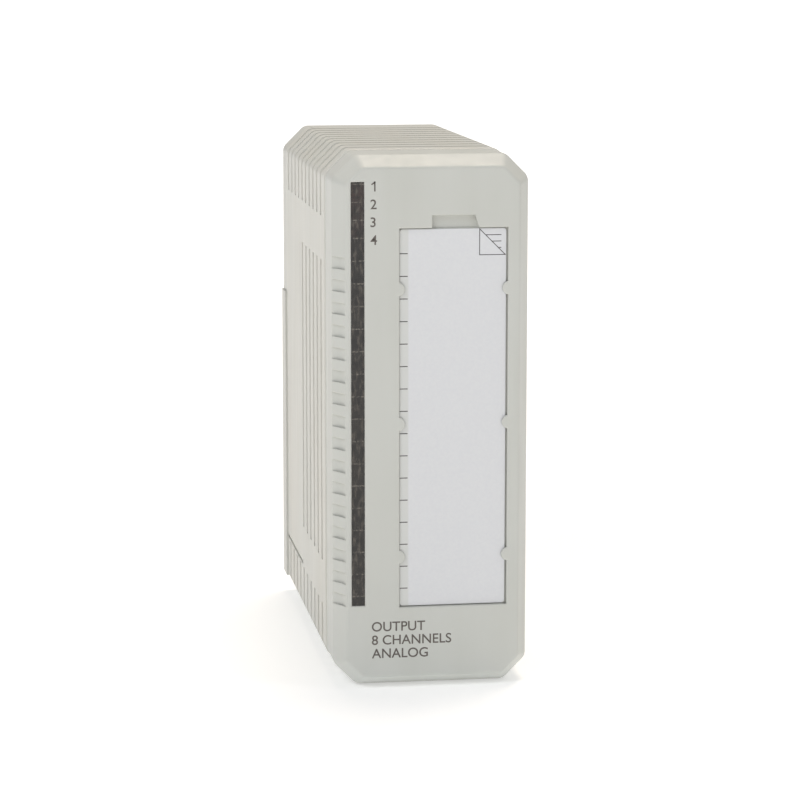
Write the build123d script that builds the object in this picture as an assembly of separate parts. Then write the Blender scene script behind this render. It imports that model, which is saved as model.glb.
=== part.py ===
from build123d import *
import math
import os

# Plug-in analogue output module for a distributed controller.
# X runs across the module, Y from the front face to the rear connector, Z up.
# The origin is the middle of the bottom of the whole module.

# ---- overall sizes, mm ----
width = 45.0            # over the guide flanges at the rear
height = 119.0          # over the ribbed housing
body_depth = 102.0      # front face to the rear face
connector_reach = 9.0   # how far the rear connector stands out of the rear face

# ---- housing section ----
flange_proud = 0.45     # guide flange beyond the side wall
wall = 2.4              # housing wall
corner_cut = 5.3        # flat across each long corner
corner_round = 2.5      # where the corner flat meets a wall
cover_depth = 16.0      # front face to the seam
cover_inset = 0.25      # front cover inside the line of the housing
seam_gap = 0.3
rear_depth = 7.0        # rear cover, seam to rear face
rear_plate = 3.0

# ---- front cover ----
bevel_width = 2.6
bevel_depth = 4.5
face_round = 1.5
face_edge = 0.8         # rounded edge between the face and the bevel
bevel_edge = 1.8        # rounded edge between the bevel and the side
seam_edge = 0.3         # broken edge on both sides of the seam
rim_edge = 0.2          # broken edge round the pocket and the window slot
cover_wall = 2.0
face_wall = 2.4
rim_land = 0.6          # face left beside the front pocket
lip_depth = 7.0         # plug-in skirt beyond the seam
lip_wall = 1.2
lip_gap = 0.15
lip_round = 0.5         # skirt's corners
friction_rib = 0.1      # ribs on the skirt, within lip_gap
friction_rib_width = 3.0
friction_rib_count = 3  # on each side
friction_rib_start = 1.0    # behind the housing's front edge
skirt_root = 4.0        # thick part of the skirt inside the cover

# ---- grip scallops in the left bevel ----
scallop_pitch = 5.0
scallop_height = 2.6
scallop_length = 5.6    # along the bevel, front to back
scallop_sink = 0.6
scallop_set = 0.5       # behind the middle of the bevel
scallop_low = 16.8      # lowest scallop above the bottom of the face
scallop_high = 20.2     # highest scallop below the top of the face

# ---- indicator window ----
window_width = 2.9
window_side = 1.1       # from the left edge of the face
window_low = 16.3
window_high = 3.1
window_sink = 0.15
window_play = 0.05
window_flange = 0.4
window_flange_depth = 1.0

# ---- marking card ----
card_column = 7.75      # between the window and the card, for the marks
card_side = 2.6         # from the right edge of the face
card_low = 15.7
card_high = 13.3
pocket_depth = 1.1
card_thickness = 0.5
card_play = 0.25
card_shift = 0.15       # card pushed to the left in its pocket
card_round = 0.6
tab_radius = 1.55
tab_thickness = 0.45
tab_pitch = 29.8
tab_side = 0.3          # tab's middle beside the pocket's edge
tab_drop = 1.0          # middle tab below the card's middle
tab_edge = 0.25
notch_width = 9.5
notch_height = 2.8
notch_flare = 0.9
notch_depth = 1.3
notch_offset = -0.1     # notch middle from the card's middle

# ---- ribbing ----
rib_pitch = 7.4
groove_width = 2.4
groove_depth = 1.1
groove_first = 6.6      # first groove behind the seam
groove_last = 5.0       # least land before the rear cover
wrap_drop = 15.0        # how far the wrap-round grooves reach from top and bottom
side_gap = 10.0         # plain wall between wrap-round and side grooves
side_grooves = 6
slot_rise = 15.8        # guide slot above the bottom
slot_height = 0.9
slot_depth = 0.5
slot_land = 1.0         # between the last side groove and the slot

# ---- rear cover ----
rear_lip_depth = 4.0
rear_lip_gap = 0.1
flange_height = 78.0
boss_radius = 3.0
boss_inset = 7.6        # boss middle from the outside of the housing
boss_length = 22.0
boss_gap = 0.3
web_thickness = 2.0     # web from the boss to the wall
post_margin = 1.0       # link board's edge past its posts
post_hole = 1.0         # post's screw hole into the plate

# ---- boards ----
board_thickness = 1.6
board_margin = 12.0     # board edge from the top and the bottom
main_board_side = 7.8    # behind the board, to the housing wall
output_board_side = 9.8
indicator_board_gap = 3.0   # behind the seam
indicator_board_side = 0.4  # to the inside of the skirt
indicator_board_low = 20.0
link_board_side = 1.0       # to the rear cover's lip
link_board_height = 63.0
link_board_gap = 5.4    # between the link board and the rear plate
spacer_inset = 8.0      # spacer middle from the board's edges
spacer_across = 5.5
screw_play = 0.05
head_play = 0.2
head_round = 0.4        # rounded part of a screw head's height
cross_length = 1.2      # cross slot as shares of the head's radius
cross_width = 0.3

# ---- rear connector ----
pin_pitch = 2.54
pin_rows = 3
pin_columns = 16
pin_side = 0.64
pin_play = 0.06
pin_tail = 2.0          # past the link board
pin_recess = 1.0        # below the mating face
connector_width = 11.0
connector_margin = 5.0  # body beyond the last pin
connector_play = 0.1
connector_edge = 0.6    # broken edge of the mating face
connector_flange = 6.5  # ears above and below the body
connector_flange_depth = 2.0

# ---- coding sockets ----
socket_rise = 40.0      # above and below the connector's middle
socket_radius = 4.6
socket_bore = 3.0
socket_bore_depth = 8.0
socket_proud = 2.0
socket_collar = 5.6
socket_collar_depth = 1.0
socket_length = 10.0

# ---- indicators ----
led_pitch = 3.9
led_count = 4
led_first = 2.0         # first indicator below the top of the window
led_size = 1.4
led_depth = 0.9
guide_width = 1.5
guide_height = 2.0
guide_gap = 0.5
guide_play = 0.2        # to the inside of the skirt
guide_bar = 1.5
guide_bar_set = 1.2     # bar behind the window

# ---- components: how tall off the board, long front to back, high ----
header_size = (4.0, 5.0, 30.0)
small_header_size = (5.0, 5.0, 12.0)
controller_size = (1.6, 14.0, 14.0)
converter_size = (1.8, 7.5, 5.0)
coupler_size = (3.4, 6.4, 4.6)
crystal_size = (3.5, 4.5, 11.0)
driver_size = (2.3, 6.6, 6.0)
driver_set = 27.0       # row of drivers from the rear end of the board
resistor_size = (0.7, 6.3, 3.2)
lead_reach = 1.2        # legs beyond a package
lead_thickness = 0.25
lead_share = 0.45       # leg width as a share of the pitch
controller_legs = (12, 1.0)     # on each side, and their pitch
converter_legs = (4, 1.1)
coupler_legs = (2, 2.54)
channel_count = 8
part_gap = 0.8          # between neighbouring components
core_size = 15.0
core_yoke = 2.2
core_leg = 5.0
core_window = 3.4
core_rise = 1.5         # bobbin foot under the core
bobbin_wall = 0.8
winding_play = 0.1
winding_set = 1.2       # winding from the ends of the window
winding_build = 1.4
can_radius = 4.0
can_height = 12.0
can_count = 3
can_pitch = 9.5
can_round = 0.6
can_crimp = 2.2         # crimp above the board
crimp_radius = 0.7
crimp_out = 0.35        # crimping wheel's middle outside the can
choke_radius = 6.0
choke_height = 8.0
choke_groove = 5.0
choke_waist = 4.6
spreader_thickness = 2.0
spreader_half = 8.0
spreader_foot = 3.0
spreader_edge = 2.0     # to the ends of the board

# ---- worked out from the sizes above ----
front = -(body_depth + connector_reach) / 2
seam = front + cover_depth
rear = front + body_depth
rear_seam = rear - rear_depth
plate_inside = rear - rear_plate
middle = height / 2
half_width = width / 2 - flange_proud
face_inset = cover_inset + bevel_width
face_half = half_width - face_inset
face_bottom = face_inset
face_top = height - face_inset
window_left = -face_half + window_side
window_x = window_left + window_width / 2
window_bottom = face_bottom + window_low
window_top = face_top - window_high
card_left = window_left + window_width + card_column
card_right = face_half - card_side
card_bottom = face_bottom + card_low
card_top = face_top - card_high
card_x = (card_left + card_right) / 2
card_z = (card_bottom + card_top) / 2
skirt_back = seam + lip_depth
led_board_front = seam + indicator_board_gap
board_front = led_board_front + board_thickness
link_board_back = plate_inside - link_board_gap
board_back = link_board_back - board_thickness
board_bottom = board_margin
board_top = height - board_margin
main_board_x = -half_width + wall + main_board_side + board_thickness / 2
output_board_x = half_width - wall - output_board_side - board_thickness / 2
skirt_inset = wall + lip_gap + lip_wall
link_board_half = half_width - wall - rear_lip_gap - lip_wall - link_board_side
main_face = main_board_x + board_thickness / 2      # component side, towards +X
output_face = output_board_x - board_thickness / 2  # component side, towards -X
output_back = output_board_x + board_thickness / 2


def section(inset, round_radius=0.0):
    """The housing's eight-sided section, moved in evenly by inset."""
    cut = corner_cut - inset * (2 - math.sqrt(2))
    shape = Rectangle(2 * (half_width - inset), height - 2 * inset)
    shape = chamfer(shape.vertices(), length=cut)
    if round_radius > 0:
        shape = fillet(shape.vertices(), radius=round_radius)
    return Pos(0, middle) * shape


def across(y):
    """The plane across the module at depth y, drawn in X and Z."""
    return Plane(origin=(0, y, 0), x_dir=(1, 0, 0), z_dir=(0, -1, 0))


def prism(sketch, y_front, y_back):
    return extrude(across(y_back) * sketch, amount=y_back - y_front)


def block(x0, x1, y0, y1, z0, z1):
    return Pos((x0 + x1) / 2, (y0 + y1) / 2, (z0 + z1) / 2) * Box(x1 - x0, y1 - y0, z1 - z0)


def rod(x, z, radius, y_front, y_back):
    """A round bar along Y."""
    return prism(Pos(x, z) * Circle(radius), y_front, y_back)


def slab(inset, y_front, y_back, round_radius=0.0):
    return prism(section(inset, round_radius), y_front, y_back)


def spread(count, low, high):
    """Middles of count equal cells between low and high."""
    cell = (high - low) / count
    return [low + cell * (n + 0.5) for n in range(count)]


def screw(shank_radius, length, head_radius, head_height):
    """A cross-slotted pan head screw, head up, under side of the head at the origin."""
    head = Pos(0, 0, head_height / 2) * Cylinder(head_radius, head_height)
    top_edge = head.edges().filter_by(GeomType.CIRCLE).sort_by(Axis.Z)[-1]
    head = fillet(top_edge, radius=head_height * head_round)
    cross = Box(head_radius * cross_length, head_radius * cross_width, head_height)
    cross += Box(head_radius * cross_width, head_radius * cross_length, head_height)
    shank = Pos(0, 0, -length / 2) * Cylinder(shank_radius, length)
    return head + shank - Pos(0, 0, head_height) * cross


def screw_hole(shank_radius, length):
    return Cylinder(shank_radius + screw_play, 2 * length)


def save(shape, name):
    export_step(shape, f"parts/{name}.step")


def save_group(shapes, name):
    export_step(Compound(children=list(shapes)), f"parts/{name}.step")


# ---- screws and their places ----
cover_screw = dict(shank_radius=1.45, length=12.0, head_radius=2.7, head_height=1.8)
spacer_screw = dict(shank_radius=1.45, length=6.0, head_radius=2.7, head_height=1.8)
link_screw = dict(shank_radius=1.2, length=5.0, head_radius=2.2, head_height=1.5)
ear_screw = dict(shank_radius=1.2, length=4.6, head_radius=2.2, head_height=1.5)

cover_screw_places = [
    (side * (half_width - boss_inset), z)
    for side in (-1, 1)
    for z in (boss_inset, height - boss_inset)
]
spacer_places = [
    (y, z)
    for y in (board_front + spacer_inset, board_back - spacer_inset)
    for z in (board_bottom + spacer_inset, board_top - spacer_inset)
]
link_post_places = [
    (side * (link_board_half - link_screw["head_radius"]), z)
    for side in (-1, 1)
    for z in (
        middle - link_board_height / 2 + link_screw["head_radius"] + post_margin,
        middle + link_board_height / 2 - link_screw["head_radius"] - post_margin,
    )
]
connector_height = (pin_columns - 1) * pin_pitch + 2 * connector_margin
ear_places = [
    middle - connector_height / 2 - connector_flange / 2,
    middle + connector_height / 2 + connector_flange / 2,
]
socket_places = [middle - socket_rise, middle + socket_rise]
pin_places = [
    ((row - (pin_rows - 1) / 2) * pin_pitch, middle + (column - (pin_columns - 1) / 2) * pin_pitch)
    for row in range(pin_rows)
    for column in range(pin_columns)
]
led_places = [window_top - led_first - n * led_pitch for n in range(led_count)]


# ---- front cover: bevelled face, pocket for the card, window slot, plug-in skirt ----
def scallop(z):
    """A shallow scoop in the left bevel, a crescent in plan, flat above and below."""
    slope = math.hypot(bevel_width, bevel_depth)
    half = scallop_length / 2
    radius = (scallop_sink ** 2 + half ** 2) / (2 * scallop_sink)
    lift = (radius - scallop_sink) / slope
    back = scallop_set / slope
    x = -face_half - bevel_width / 2 - bevel_depth * lift - bevel_width * back
    y = front + bevel_depth / 2 - bevel_width * lift + bevel_depth * back
    return Pos(x, y, z) * Cylinder(radius, scallop_height)


def scallop_places():
    low = face_bottom + scallop_low
    high = face_top - scallop_high
    count = int((high - low) / scallop_pitch) + 1
    first = (low + high) / 2 - (count - 1) * scallop_pitch / 2
    return [first + n * scallop_pitch for n in range(count)]


def broken_rim(x0, x1, z0, z1):
    """The sloped edge round a rectangular opening in the face."""
    mouth = Pos((x0 + x1) / 2, (z0 + z1) / 2) * Rectangle(x1 - x0 + 2 * rim_edge, z1 - z0 + 2 * rim_edge)
    throat = Pos((x0 + x1) / 2, (z0 + z1) / 2) * Rectangle(x1 - x0, z1 - z0)
    return loft(Sketch() + [across(front) * mouth, across(front + rim_edge) * throat], ruled=True)


def card_pocket():
    pocket = block(card_left, card_right, front, front + pocket_depth, card_bottom, card_top)
    pocket += broken_rim(card_left, card_right, card_bottom, card_top)
    half = notch_width / 2
    notch = make_face(Polyline(
        (-half, 0), (half + notch_flare, 0), (half, notch_height), (-half, notch_height), close=True))
    notch_x = card_x + notch_offset
    pocket += prism(Pos(notch_x, card_top) * notch, front, front + notch_depth)
    return pocket


def card_tabs():
    """Six half-round tabs that hold the card in its pocket."""
    disc = rod(0, 0, tab_radius, front, front + tab_thickness)
    disc = fillet(edges_at(disc, front), radius=tab_edge)
    tabs = []
    for x in (card_left - tab_side, card_right + tab_side):
        for n in (-1, 0, 1):
            tabs.append(Pos(x, 0, card_z - tab_drop + n * tab_pitch) * disc)
    return tabs


def friction_ribs():
    y0 = seam + seam_gap + friction_rib_start
    inner = half_width - wall - lip_gap
    ribs = []
    for side in (-1, 1):
        for z in spread(friction_rib_count, corner_cut + wall, height - corner_cut - wall):
            x0, x1 = sorted((side * (inner - 0.5), side * (inner + friction_rib)))
            ribs.append(block(x0, x1, y0, skirt_back, z - friction_rib_width / 2, z + friction_rib_width / 2))
    return ribs


def edges_at(shape, y):
    """The edges that lie flat across the module at depth y."""
    flat = []
    for edge in shape.edges():
        box = edge.bounding_box()
        if abs(box.min.Y - y) < 0.001 and abs(box.max.Y - y) < 0.001:
            flat.append(edge)
    return flat


def cover_shell():
    """The outside of the front cover, solid, with its edges rounded."""
    shell = loft(Sketch() + [
        across(front + bevel_depth) * section(cover_inset, corner_round),
        across(front) * section(face_inset, face_round),
    ], ruled=True)
    shell += slab(cover_inset, front + bevel_depth, seam, corner_round)
    shell = fillet(edges_at(shell, front), radius=face_edge)
    shell = fillet(edges_at(shell, front + bevel_depth), radius=bevel_edge)
    return chamfer(edges_at(shell, seam), length=seam_edge)


def build_front_cover():
    outer = cover_shell()
    outer += slab(wall + lip_gap, seam - skirt_root, skirt_back, lip_round)
    body = outer - slab(face_inset + rim_land, front + face_wall, front + bevel_depth + cover_wall)
    body -= slab(cover_inset + cover_wall, front + bevel_depth + cover_wall, seam - skirt_root)
    body -= slab(skirt_inset, seam - skirt_root, skirt_back)
    body += friction_ribs()
    body -= [scallop(z) for z in scallop_places()]
    body -= block(
        window_left, window_left + window_width, front, front + face_wall, window_bottom, window_top)
    body -= broken_rim(window_left, window_left + window_width, window_bottom, window_top)
    body -= card_pocket()
    return body + card_tabs()


def build_led_window():
    x0 = window_left + window_play
    x1 = window_left + window_width - window_play
    y1 = front + face_wall
    y2 = y1 + window_flange_depth
    bar = block(x0, x1, front + window_sink, y1, window_bottom + window_play, window_top - window_play)
    flange = block(
        window_left - window_flange, window_left + window_width + window_flange, y1, y2,
        window_bottom - window_flange, window_top + window_flange)
    return bar + (flange & slab(face_inset + rim_land + window_play, y1, y2))


def build_label_card():
    y1 = front + pocket_depth
    card = Rectangle(card_right - card_left - 2 * card_play, card_top - card_bottom - 2 * card_play)
    card = fillet(card.vertices(), radius=card_round)
    return prism(Pos(card_x - card_shift, card_z) * card, y1 - card_thickness, y1)


def build_light_guide():
    """Clear comb: one rod for each indicator, joined by a bar behind the window."""
    y0 = front + face_wall + window_flange_depth
    y1 = led_board_front - led_depth - guide_gap
    half = guide_width / 2
    comb = block(
        window_x - half, window_x + half, y0 + guide_bar_set, y0 + guide_bar_set + guide_bar,
        led_places[-1] - guide_height / 2, led_places[0] + guide_height / 2)
    for z in led_places:
        comb += block(window_x - half, window_x + half, y0, y1, z - guide_height / 2, z + guide_height / 2)
    return comb & slab(skirt_inset + guide_play, y0, y1)


# ---- housing: ribbed eight-sided sleeve with screw bosses at the rear ----
def groove_places():
    first = seam + groove_first
    count = int((rear_seam - groove_last - first) / rib_pitch) + 1
    return [first + n * rib_pitch for n in range(count)]


def wrap_groove(y):
    """A groove over the top or bottom that runs round both corners."""
    y0 = y - groove_width / 2
    y1 = y + groove_width / 2
    ring = slab(-1, y0, y1) - slab(groove_depth, y0, y1)
    return ring - block(-width, width, y0, y1, wrap_drop, height - wrap_drop)


def side_groove(y, side):
    x0, x1 = sorted((side * (half_width - groove_depth), side * width))
    low = wrap_drop + side_gap
    y0 = y - groove_width / 2
    return block(x0, x1, y0, y0 + groove_width, low, height - low)


def guide_slot(side):
    y0 = groove_places()[side_grooves - 1] + groove_width / 2 + slot_land
    x0, x1 = sorted((side * (half_width - slot_depth), side * width))
    return block(x0, x1, y0, rear_seam, slot_rise - slot_height / 2, slot_rise + slot_height / 2)


def screw_boss(x, z):
    y0 = plate_inside - boss_length
    edge_x = math.copysign(half_width - wall / 2, x)
    half = web_thickness / 2
    x0, x1 = sorted((x, edge_x))
    web = block(x0, x1, y0, rear_seam - rear_lip_depth - boss_gap, z - half, z + half)
    return rod(x, z, boss_radius, y0, plate_inside) + web


def build_housing():
    start = seam + seam_gap
    body = slab(0, start, rear_seam, corner_round)
    body = chamfer(edges_at(body, start), length=seam_edge) - slab(wall, start, rear_seam)
    for y in groove_places():
        body -= wrap_groove(y)
    for y in groove_places()[:side_grooves]:
        body -= [side_groove(y, -1), side_groove(y, 1)]
    body -= [guide_slot(-1), guide_slot(1)]
    hole = screw_hole(cover_screw["shank_radius"], cover_screw["length"])
    for x, z in cover_screw_places:
        body += screw_boss(x, z)
    for x, z in cover_screw_places:
        body -= Pos(x, plate_inside, z) * Rot(X=90) * hole
    return body


# ---- rear cover: closes the housing and carries the connector and coding sockets ----
def build_rear_cover():
    body = slab(0, rear_seam, rear, corner_round) - slab(wall, rear_seam, plate_inside)
    lip = slab(wall + rear_lip_gap, rear_seam - rear_lip_depth, plate_inside)
    lip -= slab(wall + rear_lip_gap + lip_wall, rear_seam - rear_lip_depth, plate_inside)
    body += lip
    for side in (-1, 1):
        x0, x1 = sorted((side * (half_width - wall / 2), side * width / 2))
        body += block(x0, x1, rear_seam, rear, corner_cut, flange_height)
    for x, z in cover_screw_places:
        body -= rod(x, z, boss_radius + boss_gap, rear_seam - rear_lip_depth, plate_inside)
        body -= rod(x, z, cover_screw["shank_radius"] + screw_play, plate_inside, rear)
        body -= rod(x, z, cover_screw["head_radius"] + head_play, rear - cover_screw["head_height"], rear)
    for x, z in link_post_places:
        body += rod(x, z, link_screw["head_radius"], link_board_back, plate_inside)
        body -= rod(x, z, link_screw["shank_radius"] + screw_play, link_board_back, plate_inside + post_hole)
    half_w = connector_width / 2 + connector_play
    half_h = connector_height / 2 + connector_play
    body -= block(-half_w, half_w, plate_inside, rear, middle - half_h, middle + half_h)
    for z in ear_places:
        body -= rod(0, z, ear_screw["shank_radius"] + screw_play, plate_inside, rear)
        body -= rod(0, z, ear_screw["head_radius"] + head_play, rear - ear_screw["head_height"], rear)
    for z in socket_places:
        body -= rod(0, z, socket_radius + screw_play, plate_inside, rear)
        seat = Pos(0, z) * RegularPolygon(socket_collar + screw_play, 6)
        body -= prism(seat, rear - socket_collar_depth, rear)
    return body


def rear_screws(places, size, y):
    return [Pos(x, y, z) * Rot(X=-90) * screw(**size) for x, z in places]


# ---- rear connector ----
def pin_holes(y0, y1):
    side = pin_side + 2 * pin_play
    return [block(x - side / 2, x + side / 2, y0, y1, z - side / 2, z + side / 2) for x, z in pin_places]


def build_rear_connector():
    y0 = link_board_back
    y1 = rear + connector_reach
    half_w = connector_width / 2
    half_h = connector_height / 2
    body = block(-half_w, half_w, y0, y1, middle - half_h, middle + half_h)
    body = chamfer(body.edges().group_by(Axis.Y)[-1], length=connector_edge)
    ears = block(
        -half_w, half_w, plate_inside - connector_flange_depth, plate_inside,
        middle - half_h - connector_flange, middle + half_h + connector_flange)
    body += ears
    for z in ear_places:
        body -= rod(
            0, z, ear_screw["shank_radius"] + screw_play,
            plate_inside - connector_flange_depth, plate_inside)
    return body - pin_holes(y0, y1)


def build_contacts():
    y0 = board_back - pin_tail
    y1 = rear + connector_reach - pin_recess
    half = pin_side / 2
    return [block(x - half, x + half, y0, y1, z - half, z + half) for x, z in pin_places]


def build_coding_socket(z):
    y0 = rear + socket_proud - socket_length
    y1 = rear + socket_proud
    body = rod(0, z, socket_radius, y0, y1)
    collar = Pos(0, z) * RegularPolygon(socket_collar, 6)
    body += prism(collar, rear - socket_collar_depth, rear)
    return body - rod(0, z, socket_bore, y1 - socket_bore_depth, y1)


# ---- boards ----
def spacer_holes(x):
    radius = spacer_screw["shank_radius"] + screw_play
    return [Pos(x, y, z) * Rot(Y=90) * Cylinder(radius, 3 * board_thickness) for y, z in spacer_places]


def build_side_board(x):
    half = board_thickness / 2
    board = block(x - half, x + half, board_front, board_back, board_bottom, board_top)
    return board - spacer_holes(x)


def build_link_board():
    """Board across the rear that joins both side boards to the connector."""
    half = link_board_half
    board = block(
        -half, half, board_back, link_board_back,
        middle - link_board_height / 2, middle + link_board_height / 2)
    board -= pin_holes(board_back, link_board_back)
    for x, z in link_post_places:
        board -= rod(x, z, link_screw["shank_radius"] + screw_play, board_back, link_board_back)
    return board


def build_indicator_board():
    board = slab(skirt_inset + indicator_board_side, led_board_front, board_front)
    return board - block(-width, width, led_board_front, board_front, 0, indicator_board_low)


def build_spacer(y, z):
    length = output_face - main_face
    hexagon = RegularPolygon(spacer_across / math.sqrt(3), 6)
    bar = extrude(hexagon, amount=length) - Cylinder(spacer_screw["shank_radius"] + screw_play, 3 * length)
    return Pos(main_face, y, z) * Rot(Y=90) * bar


def spacer_screws():
    turned_out = Rot(Y=90) * screw(**spacer_screw)
    turned_in = Rot(Y=-90) * screw(**spacer_screw)
    outside = [Pos(output_back, y, z) * turned_out for y, z in spacer_places]
    inside = [Pos(main_board_x - board_thickness / 2, y, z) * turned_in for y, z in spacer_places]
    return outside + inside


def link_screws():
    """Heads on the front of the link board, shanks in the rear cover's posts."""
    return [Pos(x, board_back, z) * Rot(X=90) * screw(**link_screw) for x, z in link_post_places]


# ---- components ----
def on_main(y, z, size):
    """A block on the component side of the main board."""
    tall, long, high = size
    return block(main_face, main_face + tall, y - long / 2, y + long / 2, z - high / 2, z + high / 2)


def on_output(y, z, size):
    """A block on the component side of the output board."""
    tall, long, high = size
    return block(output_face - tall, output_face, y - long / 2, y + long / 2, z - high / 2, z + high / 2)


def on_output_back(y, z, size):
    tall, long, high = size
    return block(output_back, output_back + tall, y - long / 2, y + long / 2, z - high / 2, z + high / 2)


first_line = board_front + spacer_inset + spacer_across / math.sqrt(3) + part_gap
resistor_y = first_line + resistor_size[1] / 2
can_y = first_line + can_radius
choke_y = first_line + choke_radius
coupler_y = resistor_y + resistor_size[1] / 2 + part_gap + lead_reach + coupler_size[1] / 2
transformer_y = coupler_y + coupler_size[1] / 2 + lead_reach + part_gap + core_size / 2
crystal_y = transformer_y + controller_size[1] / 2 + lead_reach + part_gap + crystal_size[1] / 2
driver_y = board_back - driver_set
controller_z = board_top - spacer_inset - spacer_across - controller_size[2] / 2
core_front_x = main_face + core_rise
window_x0 = core_front_x + core_yoke
window_x1 = core_front_x + core_size - core_yoke


def build_transformer_core():
    """Closed ferrite core: a centre leg with a window above and below it."""
    core = Pos(core_rise, 0, 0) * on_main(transformer_y, middle, (core_size, core_size, core_size))
    for side in (-1, 1):
        z = middle + side * (core_leg + core_window) / 2
        core -= block(
            window_x0, window_x1, transformer_y - core_size, transformer_y + core_size,
            z - core_window / 2, z + core_window / 2)
    return core


def coil_ring(x0, x1, inside_y, inside_z, outside_y, outside_z):
    outer = block(
        x0, x1, transformer_y - outside_y, transformer_y + outside_y, middle - outside_z, middle + outside_z)
    inner = block(
        x0, x1, transformer_y - inside_y, transformer_y + inside_y, middle - inside_z, middle + inside_z)
    return outer - inner


def build_transformer_bobbin():
    """Tube round the centre leg, held up by a post at each end of its foot."""
    inside_y = core_size / 2 + winding_play
    inside_z = core_leg / 2 + winding_play
    outside_y = inside_y + bobbin_wall
    x0 = window_x0 + winding_play
    x1 = window_x1 - winding_play
    bobbin = coil_ring(x0, x1, inside_y, inside_z, outside_y, inside_z + bobbin_wall)
    bobbin += on_main(transformer_y, middle, (core_rise, 2 * outside_y, core_size))
    for side in (-1, 1):
        y0, y1 = sorted((transformer_y + side * inside_y, transformer_y + side * outside_y))
        bobbin += block(main_face, x0 + bobbin_wall, y0, y1, middle - inside_z, middle + inside_z)
    return bobbin


def build_transformer_winding():
    inside_y = core_size / 2 + bobbin_wall + 2 * winding_play
    inside_z = core_leg / 2 + bobbin_wall + 2 * winding_play
    outside_z = core_leg / 2 + core_window - winding_play
    return coil_ring(
        window_x0 + winding_set, window_x1 - winding_set,
        inside_y, inside_z, inside_y + winding_build, outside_z)


def build_capacitors():
    """Electrolytic cans standing on the main board, crimped near the foot."""
    can = Pos(0, 0, can_height / 2) * Cylinder(can_radius, can_height)
    rim = can.edges().filter_by(GeomType.CIRCLE).sort_by(Axis.Z)[-1]
    can = fillet(rim, radius=can_round)
    can -= Pos(0, 0, can_crimp) * Torus(can_radius + crimp_out, crimp_radius)
    lowest = board_bottom + can_pitch / 2
    return [Pos(main_face, can_y, lowest + n * can_pitch) * Rot(Y=90) * can for n in range(can_count)]


def build_choke():
    """Drum choke on the main board."""
    drum = Cylinder(choke_radius, choke_height)
    drum -= Cylinder(choke_radius, choke_groove) - Cylinder(choke_waist, choke_groove)
    return Pos(main_face + choke_height / 2, choke_y, controller_z) * Rot(Y=90) * drum


def build_chip(on_board, y, z, size, legs):
    """A moulded package with a row of legs at its front and its back."""
    count, pitch = legs
    chip = on_board(y, z, size)
    lead = (lead_thickness, size[1] + 2 * lead_reach, pitch * lead_share)
    for n in range(count):
        chip += on_board(y, z + (n - (count - 1) / 2) * pitch, lead)
    return chip


def build_spreader():
    """Aluminium plate over the output drivers, standing on a foot at each end."""
    y = driver_y
    low = board_bottom + spreader_edge
    high = board_top - spreader_edge
    x0 = output_back + driver_size[0]
    plate = block(x0, x0 + spreader_thickness, y - spreader_half, y + spreader_half, low, high)
    foot = (driver_size[0], spreader_foot, spreader_foot)
    for z in (low + spreader_foot / 2, high - spreader_foot / 2):
        plate += on_output_back(y - spreader_half + spreader_foot / 2, z, foot)
    return plate


def build_leds():
    half = led_size / 2
    led = block(window_x - half, window_x + half, led_board_front - led_depth, led_board_front, -half, half)
    return [Pos(0, 0, z) * led for z in led_places]


def build_all():
    os.makedirs("parts", exist_ok=True)

    save(build_front_cover(), "front_cover")
    save(build_led_window(), "led_window")
    save(build_label_card(), "label_card")
    save(build_light_guide(), "light_guide")

    save(build_housing(), "housing_sleeve")
    save(build_rear_cover(), "rear_cover")
    save_group(
        rear_screws(cover_screw_places, cover_screw, rear - cover_screw["head_height"]),
        "rear_cover_screws")
    save(build_rear_connector(), "rear_connector")
    save_group(build_contacts(), "rear_contacts")
    save_group(
        rear_screws([(0, z) for z in ear_places], ear_screw, rear - ear_screw["head_height"]),
        "rear_connector_screws")
    save(build_coding_socket(socket_places[0]), "coding_socket_lower")
    save(build_coding_socket(socket_places[1]), "coding_socket_upper")

    save(build_side_board(main_board_x), "main_board")
    save(build_side_board(output_board_x), "output_board")
    save(build_link_board(), "connector_board")
    save(build_indicator_board(), "indicator_board")
    save_group([build_spacer(y, z) for y, z in spacer_places], "board_spacers")
    save_group(spacer_screws(), "board_screws")
    save_group(link_screws(), "connector_board_screws")

    save(on_main(board_back - header_size[1] / 2, middle, header_size), "main_board_header")
    save(on_output(board_back - header_size[1] / 2, middle, header_size), "output_board_header")
    save(
        on_main(board_front + small_header_size[1] / 2, middle, small_header_size),
        "indicator_board_header")
    save_group(build_leds(), "status_leds")

    save(build_transformer_core(), "transformer_core")
    save(build_transformer_bobbin(), "transformer_bobbin")
    save(build_transformer_winding(), "transformer_winding")
    save_group(build_capacitors(), "filter_capacitors")
    save(build_choke(), "power_choke")
    save(build_chip(on_main, transformer_y, controller_z, controller_size, controller_legs), "bus_controller")
    save(on_main(crystal_y, controller_z, crystal_size), "clock_crystal")
    converter_rows = spread(2, board_bottom + spacer_inset, middle - core_size / 2)
    save_group(
        [build_chip(on_main, transformer_y, z, converter_size, converter_legs) for z in converter_rows],
        "converter_chips")

    rows = spread(channel_count, board_bottom, board_top)
    save_group(
        [build_chip(on_output, coupler_y, z, coupler_size, coupler_legs) for z in rows], "optocouplers")
    save_group([on_output_back(driver_y, z, driver_size) for z in rows], "output_drivers")
    save_group([on_output(resistor_y, z, resistor_size) for z in rows], "sense_resistors")
    save(build_spreader(), "heat_spreader")


build_all()
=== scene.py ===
# Plug-in analogue output module: finishes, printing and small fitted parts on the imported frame.
import math
import bmesh
import bpy
from mathutils import Matrix, Vector


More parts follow.
